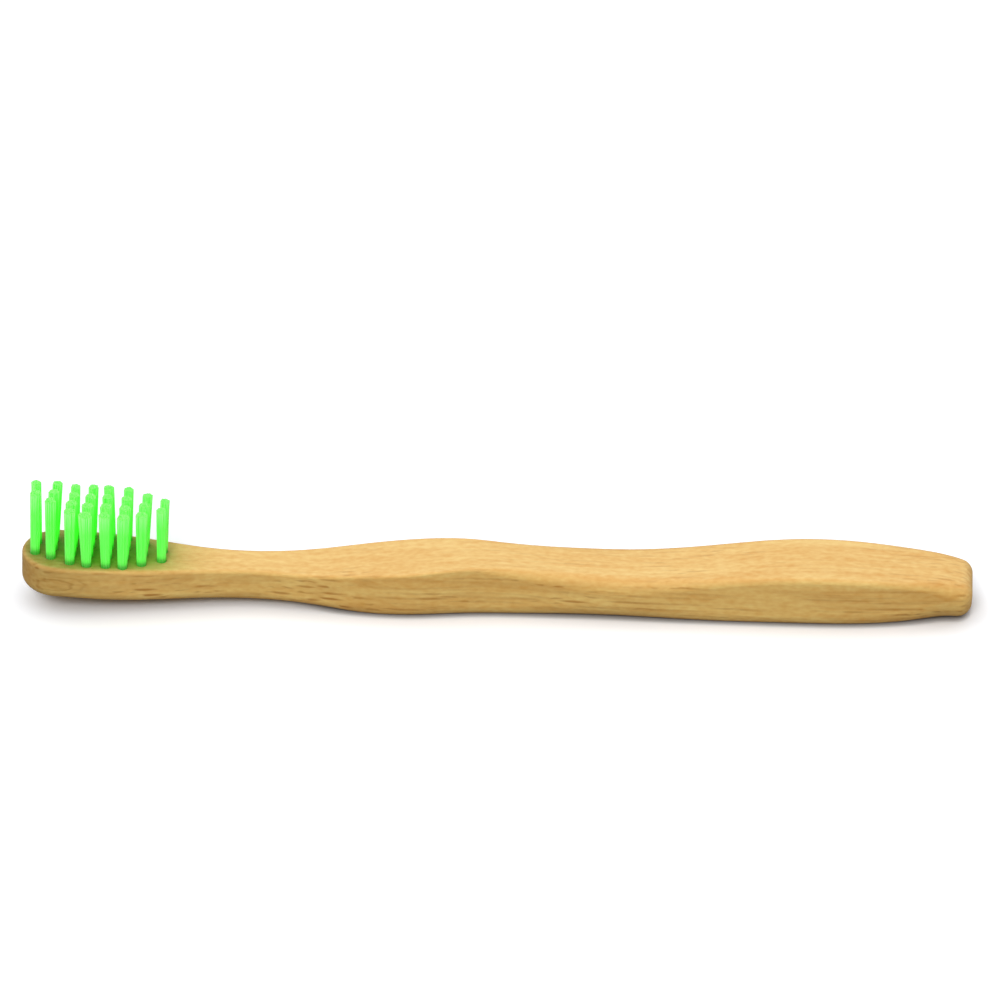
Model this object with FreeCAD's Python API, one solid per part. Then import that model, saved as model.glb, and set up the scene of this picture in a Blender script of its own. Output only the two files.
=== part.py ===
import FreeCAD, Part
import math
import os

from FreeCAD import Placement, Rotation, Vector

# A child's manual toothbrush: one milled bamboo handle, and nylon tufts that are
# folded over flat metal anchors and stapled into blind holes in the head.
# The brush lies on its back, with the head towards -X and the bristles up.

# Head: flat on both sides, with a half round tip, tipped up towards the bristles,
# and a little off the middle line of the handle
head_width = 11.3
head_thickness = 5.75
head_tilt = 3.8
head_shift = -0.2
head_edge = 0.6
head_back_edge = 1.6
head_run = 4.6
heel_run = 11.9
heel_width = 8.75

# Neck: its thin end carries the head
nape_run = 6.0
nape_width = 6.95
nape_top = 7.14
nape_thickness = 5.6
neck_run = 8.0
neck_width = 6.2
neck_top = 6.77
neck_back = 1.15
neck_edge = 0.5
neck_back_edge = 1.6

# Handle, from the neck to the butt: widths across, and heights of the top above the table
shoulder_run = 8.5
shoulder_width = 8.0
shoulder_top = 6.7
shoulder_back = 0.85
flank_run = 7.5
flank_width = 9.55
flank_top = 7.28
bulge_run = 7.0
bulge_width = 10.4
bulge_top = 7.88
crest_run = 9.5
crest_width = 9.0
crest_top = 8.58
waist_run = 6.0
waist_width = 8.8
waist_top = 8.33
dip_run = 10.5
dip_width = 10.2
dip_top = 7.53
scoop_run = 9.0
scoop_width = 11.1
scoop_top = 7.13
rise_run = 10.0
rise_width = 11.15
rise_top = 7.53
grip_run = 13.5
grip_width = 11.95
grip_top = 8.53
tail_run = 9.0
tail_width = 12.0
tail_top = 8.38
taper_run = 9.5
taper_width = 10.95
taper_top = 7.68
butt_run = 9.15
butt_width = 10.0
butt_top = 5.98
butt_back = 0.1

# Rounding of the handle's long edges, on top and on the back, and of its butt
bulge_edge = 0.45
waist_edge = 1.2
scoop_edge = 2.0
grip_edge = 0.8
back_edge = 2.0
scoop_back_edge = 3.1
butt_edge = 2.5
butt_rounding = 2.2

# The butt is sawn off a little askew: its far side, +Y, is the longer one
butt_skew = 4.5

# Depth that is planed off the back, so that the handle lies flat
back_planing = 0.15

# Tufts: columns run across the head. From the tip on, each column has this many tufts,
# spread over this span, and trimmed to this height above the head.
tuft_rows = (2, 3, 4, 4, 4, 4, 3, 2)
tuft_spans = (2.9, 4.9, 7.1, 8.0, 7.9, 7.9, 5.5, 2.65)
tuft_heights = (10.9, 10.4, 9.35, 9.2, 9.3, 9.2, 9.1, 9.25)
first_column = 2.1
column_pitch = 2.76

# The holes were drilled a little off the regular pitch
column_shifts = (0.0, -0.24, 0.0, -0.15, 0.0, -0.2, -0.18, 0.0)

# Holes, and the tufts in them
hole_diameter = 1.6
hole_depth = 3.2
tuft_top_diameter = 1.85
tuft_rim = 0.5
root_clearance = 0.03

# Anchors: flat wire, wider than the hole, so that the ends bite into the wood
anchor_thickness = 0.25
anchor_height = 1.4
anchor_bite = 0.25
fold_thickness = 0.5


def half_outline(side, width, top, back, edge, back_edge):
    """One side of a rounded rectangle in the plane x = 0, from its top down to its back."""
    outer = side * width / 2
    sag = 1 - math.sqrt(0.5)
    rim = Vector(0, outer - side * edge, top)
    bend = Vector(0, outer - side * edge * sag, top - edge * sag)
    wall_top = Vector(0, outer, top - edge)
    wall_low = Vector(0, outer, back + back_edge)
    back_bend = Vector(0, outer - side * back_edge * sag, back + back_edge * sag)
    back_rim = Vector(0, outer - side * back_edge, back)
    return [
        Part.LineSegment(Vector(0, 0, top), rim).toShape(),
        Part.Arc(rim, bend, wall_top).toShape(),
        Part.LineSegment(wall_top, wall_low).toShape(),
        Part.Arc(wall_low, back_bend, back_rim).toShape(),
        Part.LineSegment(back_rim, Vector(0, 0, back)).toShape(),
    ]


def section(width, top, back, edge, back_edge):
    """Rounded rectangle across the handle, in the plane x = 0."""
    right = half_outline(1, width, top, back, edge, back_edge)
    left = half_outline(-1, width, top, back, edge, back_edge)
    return Part.Wire(right + left[::-1])


def head_tip():
    """Half round end of the head: half of the head's section, turned about an upright axis."""
    low = -head_thickness
    side = half_outline(1, head_width, 0, low, head_edge, head_back_edge)
    axis = Part.LineSegment(Vector(0, 0, low), Vector(0, 0, 0)).toShape()
    return Part.Face(Part.Wire(side + [axis])).revolve(Vector(0, 0, 0), Vector(0, 0, 1), 180)


def moved(shape, x, y=0.0):
    """A copy of a shape, moved along and across the brush."""
    copy = shape.copy()
    copy.translate(Vector(x, y, 0))
    return copy


def on_head(shape):
    """A copy of a shape made on a level head, whose top is z = 0, put on the tilted head."""
    copy = shape.copy()
    copy.Placement = head_frame.multiply(copy.Placement)
    return copy


def handle_blank():
    """The milled bamboo, before the holes are drilled."""
    tip_x = -(nape_run + heel_run + head_run)
    head_x = -(nape_run + heel_run)
    low = -head_thickness
    head_section = section(head_width, 0, low, head_edge, head_back_edge)
    wires = [
        on_head(moved(head_section, tip_x)),
        on_head(moved(head_section, head_x)),
        on_head(moved(section(heel_width, 0, low, head_edge, head_back_edge), -nape_run)),
        on_head(section(nape_width, 0, -nape_thickness, neck_edge, neck_back_edge)),
    ]
    flat = -back_planing
    stretches = [
        (neck_run, neck_width, neck_top, neck_back, neck_edge, neck_back_edge),
        (shoulder_run, shoulder_width, shoulder_top, shoulder_back, neck_edge, neck_back_edge),
        (flank_run, flank_width, flank_top, flat, bulge_edge, back_edge),
        (bulge_run, bulge_width, bulge_top, flat, bulge_edge, back_edge),
        (crest_run, crest_width, crest_top, flat, bulge_edge, back_edge),
        (waist_run, waist_width, waist_top, flat, waist_edge, back_edge),
        (dip_run, dip_width, dip_top, flat, scoop_edge, scoop_back_edge),
        (scoop_run, scoop_width, scoop_top, flat, scoop_edge, scoop_back_edge),
        (rise_run, rise_width, rise_top, flat, waist_edge, back_edge),
        (grip_run, grip_width, grip_top, flat, grip_edge, back_edge),
        (tail_run, tail_width, tail_top, flat, grip_edge, back_edge),
        (taper_run, taper_width, taper_top, flat, waist_edge, scoop_back_edge),
    ]
    x = 0.0
    for run, width, top, back, edge, low_edge in stretches:
        x += run
        wires.append(moved(section(width, top, back, edge, low_edge), x))
    butt = section(butt_width, butt_top, butt_back, butt_edge, butt_edge)
    butt.rotate(Vector(0, 0, 0), Vector(0, 0, 1), -butt_skew)
    wires.append(moved(butt, x + butt_run))
    body = Part.makeLoft(wires, True, False)
    sawn_end = max(body.Faces, key=lambda face: face.CenterOfMass.x)
    body = body.makeFillet(min(butt_rounding, 0.9 * butt_edge), sawn_end.Edges)
    body = body.fuse(on_head(moved(head_tip(), tip_x))).removeSplitter()
    box = body.BoundBox
    planed = Part.makeBox(box.XLength, box.YLength, box.ZLength, Vector(box.XMin, box.YMin, -box.ZLength))
    return body.cut(planed)


def anchor():
    """Flat piece of wire that pins a folded tuft at the bottom of its hole."""
    length = hole_diameter + 2 * anchor_bite
    corner = Vector(-length / 2, -anchor_thickness / 2, fold_thickness - hole_depth)
    return Part.makeBox(length, anchor_thickness, anchor_height, corner)


def hole():
    """Drilled hole with the cuts that the anchor's ends make in its walls."""
    drill = Part.makeCylinder(hole_diameter / 2, 2 * hole_depth, Vector(0, 0, -hole_depth))
    return drill.fuse(anchor())


def tuft(height):
    """Bundle of filaments: packed tight in its hole, spreading above it, trimmed with a rounded rim."""
    root = hole_diameter / 2 - root_clearance
    top = tuft_top_diameter / 2
    sag = tuft_rim * (1 - math.sqrt(0.5))
    foot = Vector(0, 0, -hole_depth)
    root_low = Vector(root, 0, -hole_depth)
    root_high = Vector(root, 0, 0)
    rim_low = Vector(top, 0, height - tuft_rim)
    rim_bend = Vector(top - sag, 0, height - sag)
    rim_high = Vector(top - tuft_rim, 0, height)
    middle = Vector(0, 0, height)
    profile = Part.Wire([
        Part.LineSegment(foot, root_low).toShape(),
        Part.LineSegment(root_low, root_high).toShape(),
        Part.LineSegment(root_high, rim_low).toShape(),
        Part.Arc(rim_low, rim_bend, rim_high).toShape(),
        Part.LineSegment(rim_high, middle).toShape(),
        Part.LineSegment(middle, foot).toShape(),
    ])
    bundle = Part.Face(profile).revolve(Vector(0, 0, 0), Vector(0, 0, 1), 360)
    return bundle.cut(anchor()).Solids[0]


def tuft_places():
    """Where each tuft stands on the level head and how tall it is, column by column from the tip."""
    tip_x = -(nape_run + heel_run + head_run + head_width / 2)
    places = []
    for column, (rows, span, height) in enumerate(zip(tuft_rows, tuft_spans, tuft_heights)):
        x = tip_x + first_column + column * column_pitch + column_shifts[column]
        for row in range(rows):
            places.append((x, span * (row / (rows - 1) - 0.5), height))
    return places


head_frame = Placement(Vector(0, head_shift, nape_top), Rotation(Vector(0, 1, 0), head_tilt))
places = tuft_places()
blank = handle_blank()
holes = [on_head(moved(hole(), x, y)) for x, y, height in places]
pieces = {"handle": blank.cut(Part.makeCompound(holes)).Solids[0]}
for number, (x, y, height) in enumerate(places, 1):
    pieces["tuft_%02d" % number] = on_head(moved(tuft(height), x, y))
    pieces["anchor_%02d" % number] = on_head(moved(anchor(), x, y))

# The origin is under the middle of the brush, on the table
reach = blank.optimalBoundingBox()
os.makedirs("parts", exist_ok=True)
for name, shape in pieces.items():
    placed = moved(shape, -(reach.XMin + reach.XMax) / 2)
    placed.exportStep("parts/%s.step" % name)
    print(name, placed.ShapeType, placed.isValid(), round(placed.Volume, 2))
print("length", round(reach.XLength, 2), "width", round(reach.YLength, 2), "height", round(reach.ZMax, 2))
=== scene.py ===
import math
import random

import bpy
from mathutils import Matrix, Vector


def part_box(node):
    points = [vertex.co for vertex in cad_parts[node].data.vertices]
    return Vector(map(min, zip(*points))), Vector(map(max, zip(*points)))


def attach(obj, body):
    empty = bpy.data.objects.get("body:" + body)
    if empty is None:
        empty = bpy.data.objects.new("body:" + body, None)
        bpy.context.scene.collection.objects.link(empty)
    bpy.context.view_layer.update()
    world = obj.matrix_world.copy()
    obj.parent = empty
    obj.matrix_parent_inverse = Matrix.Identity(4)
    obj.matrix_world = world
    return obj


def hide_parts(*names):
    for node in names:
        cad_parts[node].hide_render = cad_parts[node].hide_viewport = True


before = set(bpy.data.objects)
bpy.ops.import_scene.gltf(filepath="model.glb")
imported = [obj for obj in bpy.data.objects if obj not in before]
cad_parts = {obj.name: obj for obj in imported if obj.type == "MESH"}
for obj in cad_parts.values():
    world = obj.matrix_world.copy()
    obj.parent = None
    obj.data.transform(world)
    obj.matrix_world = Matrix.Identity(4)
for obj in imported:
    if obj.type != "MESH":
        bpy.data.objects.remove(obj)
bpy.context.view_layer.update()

# Handle
# One stick of bamboo, milled to its waisted shape, drilled for the tufts and sanded. It is left
# bare, so its fibres show: as long streaks where a face runs along them, as short dashes where a
# gentle slope cuts across them, and as dots on the ends.

mm = 0.001


def linear(colour):
    """An sRGB hex colour as the linear colour that a shader takes."""
    parts = [int(colour[i:i + 2], 16) / 255 for i in (1, 3, 5)]
    return [p / 12.92 if p <= 0.04045 else ((p + 0.055) / 1.055) ** 2.4 for p in parts] + [1.0]


def add(tree, kind, sockets={}, **settings):
    """Adds a shader node, with its settings, and with its sockets linked or set."""
    node = tree.nodes.new("ShaderNode" + kind)
    for name, value in settings.items():
        setattr(node, name, value)
    for socket, value in sockets.items():
        if isinstance(value, bpy.types.NodeSocket):
            tree.links.new(value, node.inputs[socket])
        else:
            node.inputs[socket].default_value = value
    return node


# Sanded bamboo: pale straw with a dry, silky surface. Bundles of brown fibre run through it in
# staggered rows, in a ground of short pale cells, and show in patches. They dip a little towards
# the butt, so a slope that rises that way cuts them short, and shows them darkest. The sides lie
# along the layers of the stalk, which show there as long flames, and as one oval on the head, and
# carry a painted shade that tints them a little yellower than the top. The sanded edges are more
# orange. The whole stick darkens towards the tip. The top between the tufts carries a painted
# shade, green as if its light had come through them.
fibre_dip = math.radians(1.5)
fibre_yaw = math.radians(1)
bundle_spacing = 0.75 * mm
bundle_radius = 0.2 * mm
bundle_blur = 0.12 * mm
bundle_scatter = 0.5
dash_length = 2.2 * mm
dash_width = 0.7 * mm
patch_length = 18 * mm
patch_width = 4 * mm
patch_place = (3.3, 0, 0)
cell_length = 1.3 * mm
cell_width = 0.6 * mm
cell_relief = 0.03 * mm
streak_length = 12 * mm
streak_width = 1.2 * mm
streak_share = 0.6
band_length = 60 * mm
band_width = 2.5 * mm
wander_length = 45 * mm
wander_width = 12 * mm
wander_reach = 0.5 * mm
layer_thickness = 1.8 * mm
flame_length = 50 * mm
flame_width = 2.4 * mm
flame_layers = 3
oval_place = (-66.6 * mm, -5.6 * mm, 5.5 * mm)
oval_reach = (4.6 * mm, 5.0 * mm, 2.0 * mm)
oval_layers = 1.7
oval_unevenness = 1.0
tip_shade_start = -57 * mm
tip_shade_end = -73 * mm
green_light_reach = 9 * mm

bamboo = bpy.data.materials.new("sanded_bamboo")
bamboo.use_nodes = True
tree = bamboo.node_tree
tree.nodes.clear()
coordinates = add(tree, "TexCoord")
grain = add(
    tree, "Mapping",
    {"Vector": coordinates.outputs["Object"], "Rotation": (0, -fibre_dip, -fibre_yaw)},
)
fibre = (
    math.cos(fibre_dip) * math.cos(fibre_yaw),
    math.sin(fibre_yaw),
    -math.sin(fibre_dip) * math.cos(fibre_yaw),
)


def grain_noise(length, width, vector, detail, place=(0, 0, 0)):
    """Noise that is drawn out along the fibres, and moved by so many of its own lengths and widths."""
    stretched = add(
        tree, "Mapping",
        {"Vector": vector.outputs[0], "Scale": (1 / length, 1 / width, 1 / width), "Location": place},
    )
    return add(tree, "TexNoise", {"Vector": stretched.outputs[0], "Scale": 1, "Detail": detail})


# No fibre is quite straight
wander = grain_noise(wander_length, wander_width, grain, 0)
centred = add(
    tree, "VectorMath", {0: wander.outputs["Color"], 1: (0.5, 0.5, 0.5)}, operation="SUBTRACT"
)
along = add(
    tree, "VectorMath",
    {0: centred.outputs[0], 1: (0, wander_reach, wander_reach), 2: grain.outputs[0]},
    operation="MULTIPLY_ADD",
)

# Fibre bundles, in a pattern that lies across the stick
bundle_map = add(
    tree, "Mapping",
    {
        "Vector": along.outputs[0], "Scale": (0, 1 / bundle_spacing, 1 / bundle_spacing),
        "Rotation": (math.radians(45), math.radians(90), 0),
    },
)
bundle = add(
    tree, "TexVoronoi",
    {"Vector": bundle_map.outputs[0], "Scale": 1, "Randomness": bundle_scatter},
    voronoi_dimensions="2D",
)
core = add(
    tree, "MapRange",
    {
        "Value": bundle.outputs["Distance"],
        "From Min": (bundle_radius + bundle_blur) / bundle_spacing,
        "From Max": (bundle_radius - bundle_blur) / bundle_spacing,
    },
    interpolation_type="SMOOTHSTEP",
)

# How strongly they show depends on the sine of the angle at which a face cuts them
end_on = add(
    tree, "VectorMath", {0: coordinates.outputs["Normal"], 1: fibre}, operation="DOT_PRODUCT"
)
endwise = add(tree, "Math", {0: end_on.outputs["Value"]}, operation="ABSOLUTE")
crossed = add(
    tree, "MapRange",
    {"Value": endwise.outputs[0], "From Max": 0.1, "To Min": 0.3, "To Max": 0.8},
)
on_end = add(
    tree, "MapRange",
    {
        "Value": endwise.outputs[0], "From Min": 0.2, "From Max": 0.7,
        "To Min": crossed.outputs[0], "To Max": 0.4,
    },
)
facing = add(tree, "SeparateXYZ", {0: coordinates.outputs["Normal"]})
sideways = add(tree, "Math", {0: facing.outputs[1]}, operation="ABSOLUTE")
side = add(tree, "MapRange", {"Value": sideways.outputs[0], "From Min": 0.5, "From Max": 0.95})
depth = add(tree, "MapRange", {"Value": side.outputs[0], "To Min": 0.5, "To Max": 1.0})
strength = add(tree, "Math", {0: on_end.outputs[0], 1: depth.outputs[0]}, operation="MULTIPLY")
patch = grain_noise(patch_length, patch_width, along, 0, patch_place)
cut_across = add(
    tree, "MapRange",
    {
        "Value": endwise.outputs[0], "From Min": 0.13, "From Max": 0.25,
        "To Min": 0.1, "To Max": 0.6,
    },
)
patches = add(
    tree, "MapRange",
    {
        "Value": patch.outputs[0], "From Min": 0.38, "From Max": 0.62,
        "To Min": cut_across.outputs[0],
    },
)
shown = add(tree, "Math", {0: patches.outputs[0], 1: strength.outputs[0]}, operation="MULTIPLY")
lot = add(
    tree, "MapRange",
    {"Value": bundle.outputs["Color"], "From Min": 0.2, "From Max": 0.8, "To Min": 0.5},
)
breaks = grain_noise(dash_length, dash_width, along, 0)
unbroken = add(
    tree, "MapRange",
    {
        "Value": endwise.outputs[0], "From Min": 0.03, "From Max": 0.08,
        "To Min": 0.5, "To Max": 0.1,
    },
)
dash = add(
    tree, "MapRange",
    {
        "Value": breaks.outputs[0], "From Min": 0.38, "From Max": 0.55,
        "To Min": unbroken.outputs[0], "To Max": 1.0,
    },
    interpolation_type="SMOOTHSTEP",
)
broken = add(tree, "Math", {0: core.outputs[0], 1: dash.outputs[0]}, operation="MULTIPLY")
marked = add(tree, "Math", {0: broken.outputs[0], 1: shown.outputs[0]}, operation="MULTIPLY")
dark = add(tree, "Math", {0: marked.outputs[0], 1: lot.outputs[0]}, operation="MULTIPLY")

# The pale ground between the bundles, with the bundles on it
cells = grain_noise(cell_length, cell_width, along, 1)
streaks = grain_noise(streak_length, streak_width, along, 1)
bands = grain_noise(band_length, band_width, along, 2)
fine = add(
    tree, "Math", {0: streaks.outputs[0], 1: streak_share, 2: cells.outputs[0]},
    operation="MULTIPLY_ADD",
)
tone = add(tree, "Math", {0: fine.outputs[0], 1: bands.outputs[0]}, operation="ADD")
ground = add(tree, "MapRange", {"Value": tone.outputs[0], "From Min": 0.85, "From Max": 1.75})
straw = add(
    tree, "Mix", {0: ground.outputs[0], 6: linear("#E7B165"), 7: linear("#F9D58C")},
    data_type="RGBA",
)
streaked = add(
    tree, "Mix", {0: dark.outputs[0], 6: straw.outputs[2], 7: linear("#AC6820")},
    data_type="RGBA",
)

# Layers of the stalk on the sides, which swell to an oval on the head
flame = grain_noise(flame_length, flame_width, along, 1)
from_oval = add(
    tree, "VectorMath", {0: coordinates.outputs["Object"], 1: oval_place}, operation="SUBTRACT"
)
oval = add(tree, "VectorMath", {0: from_oval.outputs[0], 1: oval_reach}, operation="DIVIDE")
round_oval = add(tree, "VectorMath", {0: oval.outputs[0]}, operation="LENGTH")
away = add(
    tree, "Math", {0: streaks.outputs[0], 1: oval_unevenness, 2: round_oval.outputs["Value"]},
    operation="MULTIPLY_ADD",
)
swell = add(
    tree, "MapRange",
    {"Value": away.outputs[0], "From Min": 1.5, "From Max": 0.5, "To Max": oval_layers},
    interpolation_type="SMOOTHSTEP",
)
shifted = add(
    tree, "Math", {0: flame.outputs[0], 1: flame_layers, 2: swell.outputs[0]},
    operation="MULTIPLY_ADD",
)
across_layers = add(tree, "SeparateXYZ", {0: along.outputs[0]})
layers = add(
    tree, "Math", {0: across_layers.outputs[1], 1: 1 / layer_thickness, 2: shifted.outputs[0]},
    operation="MULTIPLY_ADD",
)
layer = add(tree, "Math", {0: layers.outputs[0], 1: 0.5}, operation="PINGPONG")
bold = add(
    tree, "MapRange",
    {"Value": away.outputs[0], "From Min": 1.4, "From Max": 0.9, "To Min": 0.17, "To Max": 0.36},
)
late = add(
    tree, "MapRange",
    {"Value": layer.outputs[0], "From Min": 0.22, "From Max": 0.5, "To Max": bold.outputs[0]},
    interpolation_type="SMOOTHSTEP",
)
on_side = add(tree, "Math", {0: late.outputs[0], 1: side.outputs[0]}, operation="MULTIPLY")
figured = add(
    tree, "Mix", {0: on_side.outputs[0], 6: streaked.outputs[2], 7: linear("#B06818")},
    data_type="RGBA",
)
# Painted shade on the sides: they are tinted a little yellower than the top
side_shaded = add(
    tree, "Mix", {0: side.outputs[0], 6: figured.outputs[2], 7: linear("#FFFFEC")},
    data_type="RGBA", blend_type="MULTIPLY",
)

# Edges and tip
rounded = add(tree, "MapRange", {"Value": sideways.outputs[0], "From Min": 0.15, "From Max": 0.95})
ridge = add(tree, "Math", {0: rounded.outputs[0], 1: 0.5}, operation="PINGPONG")
edged = add(
    tree, "Mix", {0: ridge.outputs[0], 6: side_shaded.outputs[2], 7: linear("#F6E6C6")},
    data_type="RGBA", blend_type="MULTIPLY",
)
lengthwise = add(tree, "SeparateXYZ", {0: coordinates.outputs["Object"]})
near_tip = add(
    tree, "MapRange",
    {"Value": lengthwise.outputs[0], "From Min": tip_shade_start, "From Max": tip_shade_end},
)
wood = add(
    tree, "Mix", {0: near_tip.outputs[0], 6: edged.outputs[2], 7: linear("#CFCEC4")},
    data_type="RGBA", blend_type="MULTIPLY",
)

# Painted green shade between the tufts: the top is darkened and turned green where they crowd over it
nearby = add(tree, "AmbientOcclusion", {"Distance": green_light_reach}, samples=8)
open_to_light = add(
    tree, "MapRange", {"Value": nearby.outputs["AO"], "From Min": 0.1, "From Max": 0.95}
)
openness = add(tree, "Math", {0: open_to_light.outputs[0], 1: 1.5}, operation="POWER")
light = add(
    tree, "Mix", {0: openness.outputs[0], 6: linear("#66B42E"), 7: linear("#FFFFFF")},
    data_type="RGBA",
)
on_top = add(tree, "MapRange", {"Value": facing.outputs[2], "From Min": 0.5, "From Max": 0.9})
shaded = add(
    tree, "Mix", {0: on_top.outputs[0], 6: wood.outputs[2], 7: light.outputs[2]},
    data_type="RGBA", blend_type="MULTIPLY",
)

dry = add(tree, "MapRange", {"Value": cells.outputs[0], "To Min": 0.7, "To Max": 0.55})
raised = add(
    tree, "Bump", {"Height": cells.outputs[0], "Strength": 0.25, "Distance": cell_relief}
)
surface = add(
    tree, "BsdfPrincipled",
    {
        "Base Color": shaded.outputs[2], "Roughness": dry.outputs[0], "Normal": raised.outputs[0],
        "IOR": 1.5, "Specular IOR Level": 0.25,
    },
)
add(tree, "OutputMaterial", {"Surface": surface.outputs[0]})
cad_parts["handle"].data.materials[0] = bamboo

# Tufts
# Bundles of nylon filament, folded double and pushed into blind holes in the head. They are packed
# tight at the mouth of the hole, spread a little above it, and are trimmed with rounded tips.

head_tilt = math.radians(3.8)
strand_sides = 6
strand_width = 0.28 * mm
strand_spacing = 0.165 * mm
strand_buried = 1.15 * mm
strand_height = 9.25 * mm
strand_bow = 0.05 * mm
bow_share = 0.45
mouth_radius = 0.77 * mm
lattice_reach = 7
back_spread = 0.78 * mm
anchor_below_mouth = 2.0 * mm
trim_crown = 0.12 * mm
trim_slack = 0.05 * mm
stray = 0.04 * mm
strand_seed = 26

# From the tip on, each column: its tufts, the radius that its front tuft spreads to, and how far
# its front tuft and its back tuft lean towards the butt
columns = (
    (2, 0.92 * mm, 0.03 * mm, -0.24 * mm),
    (3, 0.90 * mm, -0.15 * mm, 0.40 * mm),
    (4, 1.04 * mm, -0.11 * mm, 0.10 * mm),
    (4, 1.10 * mm, -0.33 * mm, 0.10 * mm),
    (4, 1.00 * mm, -0.29 * mm, -0.48 * mm),
    (4, 1.02 * mm, -0.04 * mm, 0.0),
    (3, 0.98 * mm, -0.15 * mm, 0.26 * mm),
    (2, 0.84 * mm, -0.20 * mm, 0.10 * mm),
)

# One strand: a thin rod, bent a little, with a rounded tip. Its height is kept on its points, as a
# share of the whole.
bpy.ops.object.select_all(action="DESELECT")
bpy.ops.mesh.primitive_circle_add(
    vertices=strand_sides, radius=strand_width / 2, fill_type="NGON",
    location=(0, 0, -strand_buried),
)
strand = bpy.context.object
bpy.ops.object.transform_apply(location=True, rotation=True, scale=True)
bpy.ops.object.mode_set(mode="EDIT")
bpy.ops.mesh.select_all(action="SELECT")
for rise, drift, width in (
    (strand_buried + bow_share * strand_height, strand_bow, 1.0),
    ((1 - bow_share) * strand_height - 0.5 * strand_width, 0.0, 1.0),
    (0.3 * strand_width, 0.0, 0.82),
    (0.2 * strand_width, 0.0, 0.45),
):
    bpy.ops.mesh.extrude_region_move(TRANSFORM_OT_translate={"value": (drift, 0, rise)})
    bpy.ops.transform.resize(value=(width, width, 1))
bpy.ops.mesh.select_all(action="SELECT")
bpy.ops.mesh.normals_make_consistent(inside=False)
bpy.ops.object.mode_set(mode="OBJECT")
bpy.ops.object.shade_smooth_by_angle(angle=math.radians(65))
heights = strand.data.attributes.new("height", "FLOAT", "POINT")
for vertex in strand.data.vertices:
    heights.data[vertex.index].value = vertex.co.z / strand_height

# Dyed nylon: bright leaf green that light shines through, smooth and a little waxy. It has a
# painted glow, an emission that makes it look brighter than the light on it and that fades at the
# roots. Painted light makes the upper part of the tufts that stand open paler, and painted shade
# makes the roots a darker green. The ground ends are a duller green than the shafts.
dye_width = 0.2 * mm
dye_length = 6 * mm
crowd_reach = 4 * mm
light_depth = 1.0 * mm

nylon = bpy.data.materials.new("dyed_nylon")
nylon.use_nodes = True
tree = nylon.node_tree
tree.nodes.clear()
place = add(tree, "TexCoord").outputs["Object"]
height = add(tree, "Attribute", attribute_name="height").outputs["Fac"]
dye_map = add(
    tree, "Mapping", {"Vector": place, "Scale": (1 / dye_width, 1 / dye_width, 1 / dye_length)}
)
dye = add(tree, "TexNoise", {"Vector": dye_map.outputs[0], "Scale": 1, "Detail": 1})
shaft = add(
    tree, "Mix", {0: dye.outputs[0], 6: linear("#84F670"), 7: linear("#94FB84")},
    data_type="RGBA",
)
# Painted light: the upper part of a tuft that stands open is mixed paler
nearby = add(tree, "AmbientOcclusion", {"Distance": crowd_reach}, samples=8)
open_to_light = add(
    tree, "MapRange", {"Value": nearby.outputs["AO"], "From Min": 0.5, "From Max": 0.8}
)
upper = add(tree, "MapRange", {"Value": height, "From Min": 0.65, "From Max": 0.95})
painted_tip_light = add(
    tree, "Math", {0: upper.outputs[0], 1: open_to_light.outputs[0]}, operation="MULTIPLY"
)
paler = add(
    tree, "Mix", {0: painted_tip_light.outputs[0], 6: shaft.outputs[2], 7: linear("#BCFFA8")},
    data_type="RGBA",
)
cap = add(tree, "MapRange", {"Value": height, "From Min": 0.975, "From Max": 0.99, "To Max": 0.6})
capped = add(
    tree, "Mix", {0: cap.outputs[0], 6: paler.outputs[2], 7: linear("#6FEA58")},
    data_type="RGBA",
)
# Painted shade: the roots are mixed to a darker green
root = add(
    tree, "MapRange", {"Value": height, "From Min": 0.15, "From Max": 0.0, "To Max": 0.65},
    interpolation_type="SMOOTHSTEP",
)
green = add(
    tree, "Mix", {0: root.outputs[0], 6: capped.outputs[2], 7: linear("#22A60E")},
    data_type="RGBA",
)
# Painted glow: an emission colour, dimmer at the roots, that lights the nylon beyond the light on it
painted_glow = add(
    tree, "Mix", {0: root.outputs[0], 6: linear("#4CFF30"), 7: linear("#12400A")},
    data_type="RGBA",
)
surface = add(
    tree, "BsdfPrincipled",
    {
        "Base Color": green.outputs[2], "Roughness": 0.55, "IOR": 1.53, "Specular IOR Level": 0.15,
        "Subsurface Weight": 1.0, "Subsurface Radius": (0.6, 1.0, 0.5),
        "Subsurface Scale": light_depth,
        "Emission Color": painted_glow.outputs[2], "Emission Strength": 0.22,
    },
)
add(tree, "OutputMaterial", {"Surface": surface.outputs[0]})
strand.data.materials.append(nylon)

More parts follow.
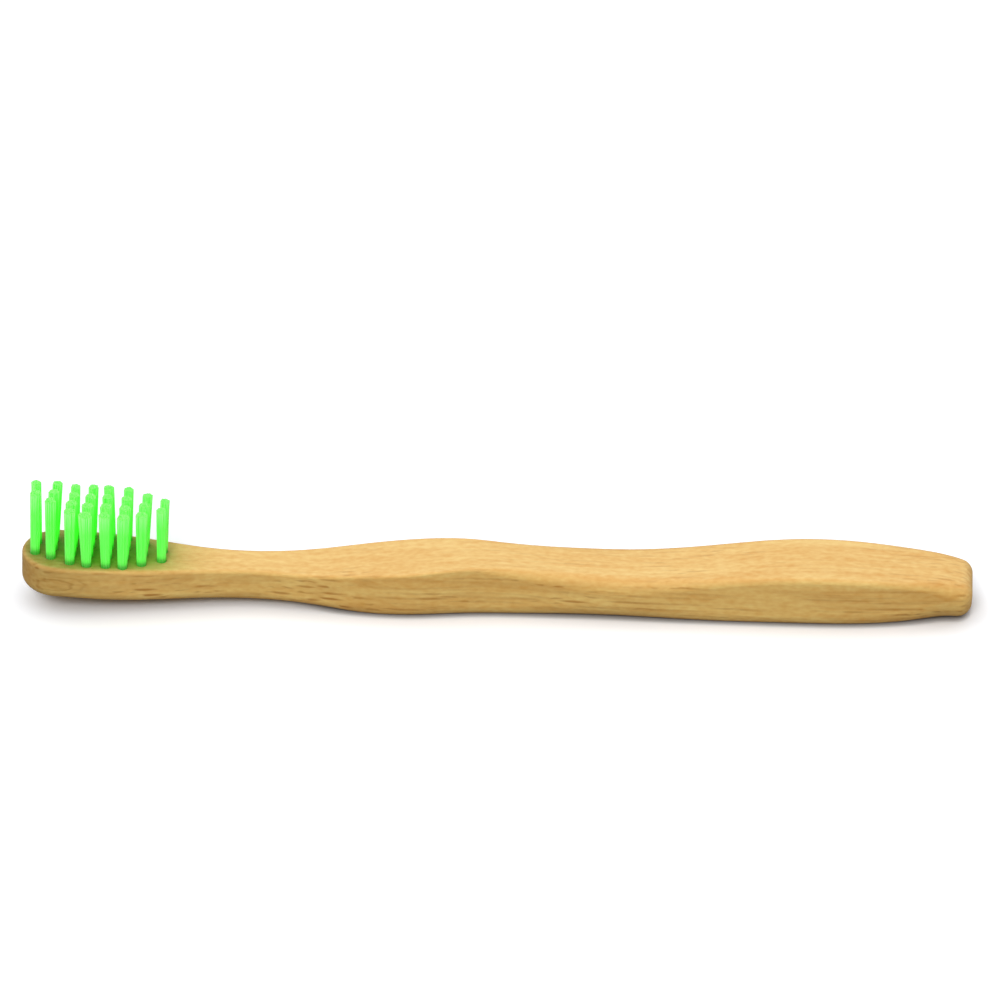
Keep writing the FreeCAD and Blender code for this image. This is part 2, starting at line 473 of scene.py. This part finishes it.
# Strands stand close together at the mouth of a hole, and each leads to its own place at the tip
rows = range(-lattice_reach, lattice_reach + 1)
lattice = [
    (strand_spacing * (i + 0.5 * (j % 2)), strand_spacing * j * math.sqrt(0.75))
    for i in rows for j in rows
]
bundle_places = [p for p in lattice if math.hypot(*p) < mouth_radius - 0.5 * strand_width]
tilted = Matrix.Rotation(head_tilt, 4, "Y")
chance = random.Random(strand_seed)
number = 0
for count, front_spread, front_lean, back_lean in columns:
    for row in range(count):
        number += 1
        low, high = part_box("anchor_%02d" % number)
        mouth = (low + high) / 2 + tilted @ Vector((0, 0, anchor_below_mouth))
        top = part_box("tuft_%02d" % number)[1].z
        tall = (top - mouth.z) / math.cos(head_tilt)
        share = row / (count - 1)
        spread = (front_spread + share * (back_spread - front_spread)) / mouth_radius - 1
        lean = front_lean + share * (back_lean - front_lean)
        stand = Matrix.Translation(mouth) @ tilted
        bpy.ops.object.select_all(action="DESELECT")
        for x, y in bundle_places:
            copy = strand.copy()
            copy.data = strand.data.copy()
            bpy.context.scene.collection.objects.link(copy)
            tip = Vector((
                spread * x + lean + chance.gauss(0, stray),
                spread * y + chance.gauss(0, stray),
                tall,
            ))
            swing = Vector((0, 0, 1)).rotation_difference(tip).to_matrix().to_4x4()
            spin = Matrix.Rotation(chance.uniform(0, math.tau), 4, "Z")
            crown = trim_crown * (math.hypot(x, y) / mouth_radius) ** 2
            trim = (tall - crown - abs(chance.gauss(0, trim_slack))) / strand_height
            trimmed = Matrix.Diagonal((1, 1, trim, 1))
            copy.matrix_world = stand @ Matrix.Translation((x, y, 0)) @ swing @ spin @ trimmed
            copy.select_set(True)
            bpy.context.view_layer.objects.active = copy
        bpy.ops.object.join()
        bpy.ops.object.transform_apply(location=True, rotation=True, scale=True)
        tuft = bpy.context.object
        tuft.name = "bristles_%02d" % number
        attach(tuft, "root")
        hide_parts("tuft_%02d" % number)
bpy.data.objects.remove(strand)

# Anchors
# Short lengths of flat brass wire, cut off a coil and driven into the holes over the folded tufts.
# Their ends bite into the wood. On a finished brush they are hidden.

anchor_count = sum(column[0] for column in columns)

# Drawn brass: yellow metal with fine lines along the wire, from the die
die_line_length = 2 * mm
die_line_width = 0.04 * mm

brass = bpy.data.materials.new("drawn_brass")
brass.use_nodes = True
tree = brass.node_tree
tree.nodes.clear()
place = add(tree, "TexCoord").outputs["Object"]
die_map = add(
    tree, "Mapping",
    {"Vector": place, "Scale": (1 / die_line_length, 1 / die_line_width, 1 / die_line_width)},
)
lines = add(tree, "TexNoise", {"Vector": die_map.outputs[0], "Scale": 1, "Detail": 2})
yellow = add(
    tree, "Mix", {0: lines.outputs[0], 6: linear("#C9A24C"), 7: linear("#E3C577")},
    data_type="RGBA",
)
worn = add(tree, "MapRange", {"Value": lines.outputs[0], "To Min": 0.25, "To Max": 0.42})
surface = add(
    tree, "BsdfPrincipled",
    {"Base Color": yellow.outputs[2], "Roughness": worn.outputs[0], "Metallic": 1.0},
)
add(tree, "OutputMaterial", {"Surface": surface.outputs[0]})
for number in range(1, anchor_count + 1):
    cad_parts["anchor_%02d" % number].data.materials[0] = brass

# Table and light
# The brush lies on a plain white table, in a white room whose light comes from all around it, a
# little more from the front left and less from straight above. One softbox hangs in front of it
# and to its left. The table is lit to a full white, apart from the shadow around the brush, which
# is partly cast and partly painted.

table_size = 6
table_gap = 0.02 * mm

bpy.ops.object.select_all(action="DESELECT")
bpy.ops.mesh.primitive_plane_add(size=table_size, location=(0, 0, -table_gap))
table = bpy.context.object
table.name = "table"

# White table top: matt and plain. Besides its cast shadow, a painted shadow darkens it near the
# brush, most where the brush touches it. The camera sees it at a full white, and the brush gets
# less light back from it than that.
contact_reach = 1.1 * mm
shade_reach = 5 * mm
seen_white = (1.165, 1.18, 1.21)
bounced_white = (0.4, 0.4, 0.4, 1)

white = bpy.data.materials.new("white_table")
white.use_nodes = True
tree = white.node_tree
tree.nodes.clear()
seen = add(tree, "LightPath").outputs["Is Camera Ray"]
# Painted shadow: occlusion near the brush darkens the table's colour, most at the contact
touching = add(tree, "AmbientOcclusion", {"Distance": contact_reach}, samples=8)
painted_contact_shadow = add(
    tree, "MapRange",
    {"Value": touching.outputs["AO"], "From Min": 0.3, "From Max": 0.95, "To Min": 0.45},
)
nearby = add(tree, "AmbientOcclusion", {"Distance": shade_reach}, samples=8)
shade = add(
    tree, "MapRange",
    {"Value": nearby.outputs["AO"], "From Min": 0.3, "From Max": 0.97, "To Min": 0.82},
)
open_to_light = add(
    tree, "Math", {0: painted_contact_shadow.outputs[0], 1: shade.outputs[0]}, operation="MULTIPLY"
)
lit = add(
    tree, "VectorMath", {0: seen_white, "Scale": open_to_light.outputs[0]}, operation="SCALE"
)
paper = add(tree, "Mix", {0: seen, 6: bounced_white, 7: lit.outputs[0]}, data_type="RGBA")
matt = add(tree, "BsdfDiffuse", {"Color": paper.outputs[2]})
add(tree, "OutputMaterial", {"Surface": matt.outputs[0]})
table.data.materials.append(white)

# The room's light by the height of its direction: it begins above the table's edge, is full along
# the walls, and falls off towards the ceiling
wall_light_start = 0.36
wall_light_full = 0.73
ceiling_start = 0.84
wall_level = 1.3
ceiling_level = 0.72
room_bias = (-0.15, -0.16, 0)

room = bpy.data.worlds.new("white_room")
room.use_nodes = True
bpy.context.scene.world = room
tree = room.node_tree
tree.nodes.clear()
path = add(tree, "LightPath")
mirrored = add(
    tree, "Math", {0: path.outputs["Is Glossy Ray"], 1: path.outputs["Is Transmission Ray"]},
    operation="MAXIMUM",
)
in_view = add(
    tree, "Math", {0: path.outputs["Is Camera Ray"], 1: mirrored.outputs[0]}, operation="MAXIMUM"
)
direction = add(tree, "TexCoord").outputs["Generated"]
upward = add(tree, "SeparateXYZ", {0: direction})
above_table = add(
    tree, "MapRange",
    {"Value": upward.outputs[2], "From Min": wall_light_start, "From Max": wall_light_full},
    interpolation_type="SMOOTHSTEP",
)
below_ceiling = add(
    tree, "MapRange",
    {
        "Value": upward.outputs[2], "From Min": ceiling_start, "From Max": 1.0,
        "To Min": wall_level, "To Max": ceiling_level,
    },
    interpolation_type="SMOOTHSTEP",
)
walls = add(
    tree, "Math", {0: above_table.outputs[0], 1: below_ceiling.outputs[0]}, operation="MULTIPLY"
)
front_left = add(tree, "VectorMath", {0: direction, 1: room_bias}, operation="DOT_PRODUCT")
dome = add(
    tree, "Math", {0: front_left.outputs["Value"], 1: walls.outputs[0], 2: walls.outputs[0]},
    operation="MULTIPLY_ADD",
)
level = add(
    tree, "MapRange", {"Value": in_view.outputs[0], "To Min": dome.outputs[0], "To Max": 1.0}
)
sky = add(tree, "Background", {"Color": linear("#FFFFFF"), "Strength": level.outputs[0]})
add(tree, "OutputWorld", {"Surface": sky.outputs[0]})

softbox_distance = 1.2
softbox_size = 0.42
softbox_rise = math.radians(42)
softbox_turn = math.radians(-14)
softbox_watts = 4.25
softbox_place = softbox_distance * Vector((
    math.cos(softbox_rise) * math.sin(softbox_turn),
    -math.cos(softbox_rise) * math.cos(softbox_turn),
    math.sin(softbox_rise),
))
bpy.ops.object.light_add(type="AREA", location=softbox_place)
softbox = bpy.context.object
softbox.rotation_euler = (-softbox_place).to_track_quat("-Z", "Y").to_euler()
softbox.data.shape = "DISK"
softbox.data.size = softbox_size
softbox.data.energy = softbox_watts

# Camera
# It looks down at the brush from the front, a little to the right, through a long lens.

picture = 1001
focal_pixels = 4000.0
camera_rise = math.radians(34)
camera_turn = math.radians(1.5)
camera_distance = 615.2 * mm
brush_pixel = (497.2, 600.8)

bpy.ops.object.camera_add()
camera = bpy.context.object
camera.data.sensor_width = 36
camera.data.lens = focal_pixels / picture * camera.data.sensor_width
across = Vector((math.cos(camera_turn), math.sin(camera_turn), 0))
back = Vector((
    math.sin(camera_turn) * math.cos(camera_rise),
    -math.cos(camera_turn) * math.cos(camera_rise),
    math.sin(camera_rise),
))
up = back.cross(across)
scale = camera_distance / focal_pixels
right_of_brush = (picture / 2 - brush_pixel[0]) * scale
above_brush = (brush_pixel[1] - picture / 2) * scale
middle = across * right_of_brush + up * above_brush
camera.location = back * camera_distance
camera.rotation_euler = (middle - camera.location).to_track_quat("-Z", "Y").to_euler()
bpy.context.scene.camera = camera
bpy.context.scene.view_settings.view_transform = "Standard"
